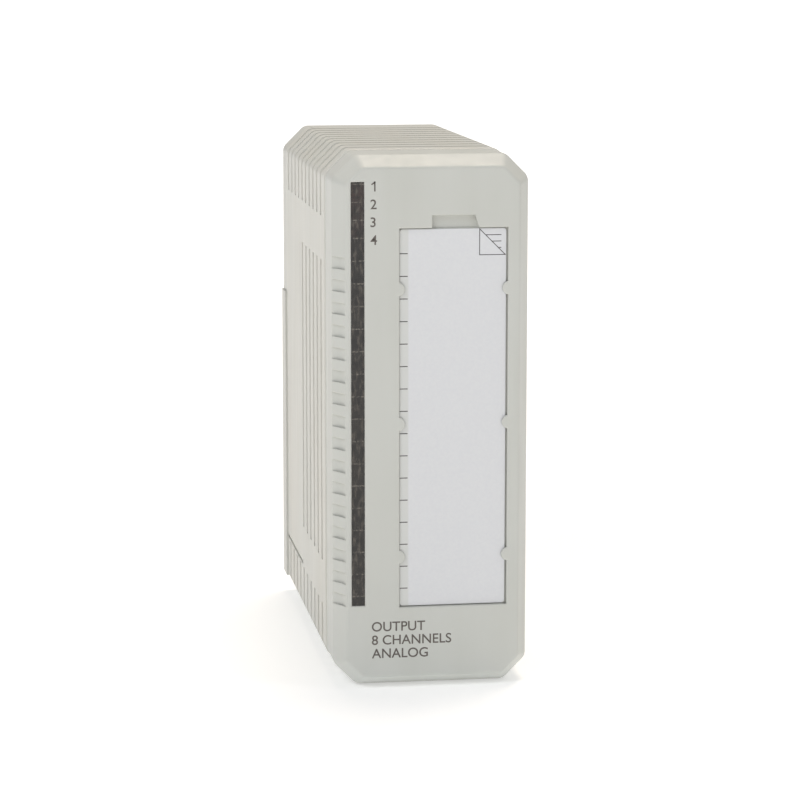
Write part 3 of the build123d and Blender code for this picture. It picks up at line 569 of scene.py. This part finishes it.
def faceMarks():
    # a numeral beside each lamp and three lines of plain wording under the window
    x = windowHigh.x + facePrint["column"]
    z = windowHigh.z + facePrint["firstDrop"]
    flag = facePrint["height"] * facePrint["flagShare"]
    stem = x + flag * facePrint["stemShare"]
    head = (stem, z - facePrint["stemEnd"])
    foot = (stem, z - facePrint["height"] + facePrint["stemEnd"])
    marks = [printedStrokes(
        "lampMark1", [(head, foot), (head, (stem - flag, z - flag))], coverLow.y,
        facePrint["stroke"], facePrint["ink"], ink)]
    for number in (2, 3, 4):
        drop = (number - 1) * facePrint["pitch"]
        marks.append(printedWord(f"lampMark{number}", str(number), x, z - drop, facePrint["height"]))
    for row, words in enumerate(facePrint["legend"]):
        drop = facePrint["legendDrop"] + row * facePrint["legendPitch"]
        marks.append(printedWord(
            f"legendLine{row + 1}", words, windowHigh.x + facePrint["legendColumn"],
            windowLow.z - drop, facePrint["legendHeight"]))
    return marks


for mark in faceMarks():
    rideOn(mark, coverBody)
print("face printed")

codingPips = {"count": 6, "ring": 7.1 * mm, "radius": 0.4 * mm, "height": 0.12 * mm}


def codingPositions():
    # six low pips moulded round each coding socket, one for each position of the key
    rearFace = boxOf("rear_cover")[1].y
    centres = []
    for nodeName in ("coding_socket_lower", "coding_socket_upper"):
        low, high = boxOf(nodeName)
        centres.append(((low.x + high.x) / 2, rearFace, (low.z + high.z) / 2))
    tree, given = startTree("codingPipTree", {
        "Count": "Int", "Ring": "Float", "Radius": "Float", "Height": "Float"})
    ring = addNode(tree, "GeometryNodeMeshCircle", {"Vertices": given["Count"], "Radius": given["Ring"]})
    dome = addNode(tree, "GeometryNodeMeshUVSphere", {"Segments": 20, "Rings": 10, "Radius": 1.0})
    scale = addNode(tree, "ShaderNodeCombineXYZ", {
        0: given["Radius"], 1: given["Radius"], 2: given["Height"]})
    pips = addNode(tree, "GeometryNodeInstanceOnPoints", {"Points": ring, "Instance": dome, "Scale": scale})
    turned = addNode(tree, "GeometryNodeTransform", {
        "Geometry": pips, "Rotation": (-math.pi / 2, 0, 0)})
    copies = addNode(tree, "GeometryNodeInstanceOnPoints", {"Points": given["Geometry"], "Instance": turned})
    closeTree(tree, copies, rearAbs)
    return growPiece("codingPositions", tree, {
        "Count": codingPips["count"], "Ring": codingPips["ring"], "Radius": codingPips["radius"],
        "Height": codingPips["height"]}, centres)


rideOn(codingPositions(), housingBody)
print("rear marked")


def looseBoxes(nodeName):
    # low and high corners of each separate piece in a grouped node, with its corners' places
    bm = bmesh.new()
    bm.from_mesh(nodes[nodeName].data)
    bmesh.ops.remove_doubles(bm, verts=bm.verts, dist=0.001 * mm)
    waiting = set(bm.verts)
    found = []
    while waiting:
        reach = [waiting.pop()]
        places = []
        while reach:
            vert = reach.pop()
            places.append(vert.co.copy())
            for edge in vert.link_edges:
                other = edge.other_vert(vert)
                if other in waiting:
                    waiting.remove(other)
                    reach.append(other)
        low = Vector([min(p[i] for p in places) for i in range(3)])
        high = Vector([max(p[i] for p in places) for i in range(3)])
        found.append((low, high, places))
    bm.free()
    return sorted(found, key=lambda item: (round(item[0].z, 6), round(item[0].y, 6)))


chipParts = {
    "length": 2.0 * mm, "width": 1.25 * mm, "height": 0.5 * mm, "cap": 0.35 * mm, "lift": 0.02 * mm,
    "besideLamp": 2.6 * mm, "spacing": 6.5 * mm, "start": 8 * mm, "ends": 26 * mm,
    "columns": ((-0.15, 0), (0.2, 1), (0.6, 0)),    # share of half the board, and where its gaps fall
    "gapEvery": 3,
}


def chipPartTree(name, along):
    # ceramic chip parts with a plated cap at each end, one on each point
    tree, given = startTree(name, {"Body": "Vector", "Cap": "Vector", "Reach": "Float"})
    body = addNode(tree, "GeometryNodeMeshCube", {"Size": given["Body"]})
    body = addNode(tree, "GeometryNodeSetMaterial", {"Geometry": body, "Material": alumina})
    cap = addNode(tree, "GeometryNodeMeshCube", {"Size": given["Cap"]})
    cap = addNode(tree, "GeometryNodeSetMaterial", {"Geometry": cap, "Material": solder})
    back = addNode(tree, "ShaderNodeMath", {0: given["Reach"], 1: -1.0}, operation="MULTIPLY")
    ends = []
    for reach in (given["Reach"], back):
        offset = addNode(tree, "ShaderNodeCombineXYZ", {along: reach})
        ends.append(addNode(tree, "GeometryNodeTransform", {"Geometry": cap, "Translation": offset}))
    whole = addNode(tree, "GeometryNodeJoinGeometry").node
    for part in (body, *ends):
        tree.links.new(part, whole.inputs[0])
    copies = addNode(tree, "GeometryNodeInstanceOnPoints", {
        "Points": given["Geometry"], "Instance": whole.outputs[0]})
    real = addNode(tree, "GeometryNodeRealizeInstances", {"Geometry": copies})
    addNode(tree, "NodeGroupOutput", {"Geometry": real})
    return tree


def lampResistors():
    # a chip resistor beside each lamp, and three columns of parts down the indicator board's front
    boardLow, boardHigh = boxOf("indicator_board")
    lamps = looseBoxes("status_leds")
    y = boardLow.y - chipParts["height"] / 2
    points = [(high.x + chipParts["besideLamp"], y, (low.z + high.z) / 2) for low, high, _ in lamps]
    spacing = chipParts["spacing"]
    steps = int((boardHigh.z - boardLow.z - chipParts["ends"]) / spacing)
    for share, shift in chipParts["columns"]:
        x = boardHigh.x * share
        for n in range(steps):
            if (n + shift) % chipParts["gapEvery"]:
                points.append((x, y, boardLow.z + chipParts["start"] + n * spacing))
    tree = chipPartTree("lampResistorTree", 0)
    cap, height, width = chipParts["cap"], chipParts["height"], chipParts["width"]
    return growPiece("indicatorBoardParts", tree, {
        "Body": (chipParts["length"] - 2 * cap, height, width),
        "Cap": (cap, height + chipParts["lift"], width + chipParts["lift"]),
        "Reach": (chipParts["length"] - cap) / 2}, points)


rideOn(lampResistors(), housingBody)

lampOutline = {"half": 1.15 * mm, "line": 0.18 * mm, "ink": 0.01 * mm}


def lampOutlines():
    # a printed square round each lamp on the indicator board
    half = lampOutline["half"]
    lines = []
    for low, high, _ in looseBoxes("status_leds"):
        x = (low.x + high.x) / 2
        z = (low.z + high.z) / 2
        corners = [(x - half, z - half), (x + half, z - half), (x + half, z + half), (x - half, z + half)]
        lines += [(corners[i], corners[i - 1]) for i in range(4)]
    y = boxOf("indicator_board")[0].y
    return printedStrokes("lampOutlines", lines, y, lampOutline["line"], lampOutline["ink"], legendWhite)


rideOn(lampOutlines(), housingBody)

chokeWire = {
    "wire": 0.9 * mm, "pitch": 0.94 * mm, "groove": 5.0 * mm, "waist": 4.6 * mm, "gap": 0.02 * mm,
}


def chokeWinding():
    # one layer of thick enamelled wire wound in the drum's groove
    low, high = boxOf("power_choke")
    tree, given = startTree("chokeWindingTree", {
        "Turns": "Float", "Radius": "Float", "Height": "Float", "Wire": "Float", "Middle": "Vector"})
    helix = addNode(tree, "GeometryNodeCurveSpiral", {
        "Resolution": 48, "Rotations": given["Turns"], "Start Radius": given["Radius"],
        "End Radius": given["Radius"], "Height": given["Height"]})
    profile = addNode(tree, "GeometryNodeCurvePrimitiveCircle", {
        "Resolution": 12, "Radius": given["Wire"]})
    wire = addNode(tree, "GeometryNodeCurveToMesh", {
        "Curve": helix, "Profile Curve": profile, "Fill Caps": True})
    lying = addNode(tree, "GeometryNodeTransform", {
        "Geometry": wire, "Translation": given["Middle"], "Rotation": (0, math.pi / 2, 0)})
    smooth = addNode(tree, "GeometryNodeSetShadeSmooth", {"Geometry": lying})
    closeTree(tree, smooth, enamelledCopper)
    turns = int((chokeWire["groove"] - chokeWire["wire"]) / chokeWire["pitch"])
    height = turns * chokeWire["pitch"]
    middle = (low + high) / 2
    return growPiece("chokeWinding", tree, {
        "Turns": float(turns), "Radius": chokeWire["waist"] + chokeWire["wire"] / 2 + chokeWire["gap"],
        "Height": height, "Wire": chokeWire["wire"] / 2,
        "Middle": (middle.x - height / 2, middle.y, middle.z)})


rideOn(chokeWinding(), housingBody)

jointSize = {"out": 0.32 * mm, "long": 0.5 * mm, "widthShare": 0.75, "tipReach": 0.01 * mm}


def legEnds(nodeName, boardSide):
    # where each leg of each package meets its board
    # boardSide is 0 where the board is on the low X side of the package, and 1 on the high side
    ends = []
    for low, high, places in looseBoxes(nodeName):
        boardX = (low, high)[boardSide].x
        for y in (low.y, high.y):
            levels = sorted({round(p.z, 6) for p in places if abs(p.y - y) < jointSize["tipReach"]})
            for bottom, top in zip(levels[::2], levels[1::2]):
                ends.append(((boardX, y, (bottom + top) / 2), top - bottom))
    return ends


def solderJoints(name, nodeName, boardSide):
    # a bright rounded fillet where each leg is soldered
    ends = legEnds(nodeName, boardSide)
    tree, given = startTree(name + "Tree", {"Size": "Vector"})
    bead = addNode(tree, "GeometryNodeMeshUVSphere", {"Segments": 10, "Rings": 6, "Radius": 1.0})
    beads = addNode(tree, "GeometryNodeInstanceOnPoints", {
        "Points": given["Geometry"], "Instance": bead, "Scale": given["Size"]})
    smooth = addNode(tree, "GeometryNodeSetShadeSmooth", {"Geometry": beads})
    closeTree(tree, smooth, solder)
    return growPiece(name, tree, {
        "Size": (jointSize["out"], jointSize["long"], ends[0][1] * jointSize["widthShare"])},
        [place for place, _ in ends])


for jointName, nodeName, side in (
        ("controllerJoints", "bus_controller", 0), ("converterJoints", "converter_chips", 0),
        ("couplerJoints", "optocouplers", 1)):
    rideOn(solderJoints(jointName, nodeName, side), housingBody)

dotSize = {"radius": 0.35 * mm, "depth": 0.02 * mm, "legReach": 1.2 * mm, "inset": 0.9 * mm}


def pinOneDots():
    # a small printed dot at the first leg of each package
    points = []
    for nodeName, face in (("bus_controller", 1), ("converter_chips", 1), ("optocouplers", 0)):
        for low, high, _ in looseBoxes(nodeName):
            x = (low, high)[face].x
            points.append((x, low.y + dotSize["legReach"] + dotSize["inset"], high.z - dotSize["inset"]))
    tree, given = startTree("pinOneDotTree", {"Radius": "Float", "Depth": "Float"})
    dot = addNode(tree, "GeometryNodeMeshCylinder", {
        "Vertices": 20, "Radius": given["Radius"], "Depth": given["Depth"]})
    facing = addNode(tree, "GeometryNodeTransform", {"Geometry": dot, "Rotation": (0, math.pi / 2, 0)})
    dots = addNode(tree, "GeometryNodeInstanceOnPoints", {"Points": given["Geometry"], "Instance": facing})
    closeTree(tree, dots, legendWhite)
    return growPiece("pinOneDots", tree, {"Radius": dotSize["radius"], "Depth": dotSize["depth"]}, points)


rideOn(pinOneDots(), housingBody)

canTop = {"radius": 3.1 * mm, "depth": 0.06 * mm}


def canTops():
    # the bare aluminium top of each can, inside its sleeve's rim
    points = []
    for low, high, _ in looseBoxes("filter_capacitors"):
        points.append((high.x, (low.y + high.y) / 2, (low.z + high.z) / 2))
    tree, given = startTree("canTopTree", {"Radius": "Float", "Depth": "Float"})
    disc = addNode(tree, "GeometryNodeMeshCylinder", {
        "Vertices": 48, "Radius": given["Radius"], "Depth": given["Depth"]})
    facing = addNode(tree, "GeometryNodeTransform", {"Geometry": disc, "Rotation": (0, math.pi / 2, 0)})
    discs = addNode(tree, "GeometryNodeInstanceOnPoints", {"Points": given["Geometry"], "Instance": facing})
    closeTree(tree, discs, aluminium)
    return growPiece("canTops", tree, {"Radius": canTop["radius"], "Depth": canTop["depth"]}, points)


rideOn(canTops(), housingBody)
print("boards populated")

studio = {
    "floor": 60.0, "near": 0.3, "far": 1.5, "nearGlow": 0.3, "farGlow": 0.75, "world": 0.36,
    "lights": (
        ("frontLight", (-1.1, -1.2, 1.6), 0.8, 11, "#fbfdff"),
        ("topLight", (0.25, 0.5, 2.0), 0.9, 20, "#fff2e2"),
        ("edgeLight", (0.9, -0.6, 1.5), 0.3, 2.0, "#ffffff"),
    ),
    "cameraPlace": (-0.09646, -0.66005, 0.16327), "yaw": 0.1463, "pitch": -0.1592, "lens": 127.0,
}


def paperFloor(size):
    # plain pale floor, large enough to fill the view
    half = size / 2
    mesh = bpy.data.meshes.new("floor")
    corners = [(-half, -half, 0), (half, -half, 0), (half, half, 0), (-half, half, 0)]
    mesh.from_pydata(corners, [], [(0, 1, 2, 3)])
    material, tree, coords = startFinish("white paper sweep")
    cloud = mottle(tree, coords, 300 * mm)
    colour = addNode(tree, "ShaderNodeMix", {
        0: cloud, 6: hexColour("#f8f8f8"), 7: hexColour("#fbfbfb")}, out=2, data_type="RGBA")
    distance = addNode(tree, "ShaderNodeVectorMath", {0: coords}, out="Value", operation="LENGTH")
    glow = addNode(tree, "ShaderNodeMapRange", {
        "Value": distance, "From Min": studio["near"], "From Max": studio["far"],
        "To Min": studio["nearGlow"], "To Max": studio["farGlow"]})
    closeFinish(material, {
        "Base Color": colour, "Roughness": 0.9, "Emission Color": (1, 1, 1, 1), "Emission Strength": glow})
    placeMesh("floor", mesh, material)


def areaLight(name, place, size, power, tint):
    light = bpy.data.lights.new(name, "AREA")
    light.size = size
    light.energy = power
    light.color = hexColour(tint)[:3]
    lamp = bpy.data.objects.new(name, light)
    target = Vector((0, 0, cadBounds[1][2] / 2))
    lamp.location = place
    lamp.rotation_euler = (target - Vector(place)).to_track_quat("-Z", "Y").to_euler()
    bpy.context.scene.collection.objects.link(lamp)


paperFloor(studio["floor"])
for light in studio["lights"]:
    areaLight(*light)
world = bpy.data.worlds.new("white tent")
world.use_nodes = True
background = world.node_tree.nodes["Background"].inputs
background["Color"].default_value = (1, 1, 1, 1)
background["Strength"].default_value = studio["world"]
bpy.context.scene.world = world
bpy.context.scene.view_settings.view_transform = "Standard"
camera = bpy.data.cameras.new("camera")
camera.lens = studio["lens"]
cameraStand = bpy.data.objects.new("camera", camera)
cameraStand.location = studio["cameraPlace"]
cameraStand.rotation_euler = (math.pi / 2 + studio["pitch"], 0, -studio["yaw"])
bpy.context.scene.collection.objects.link(cameraStand)
bpy.context.scene.camera = cameraStand
print("studio set")
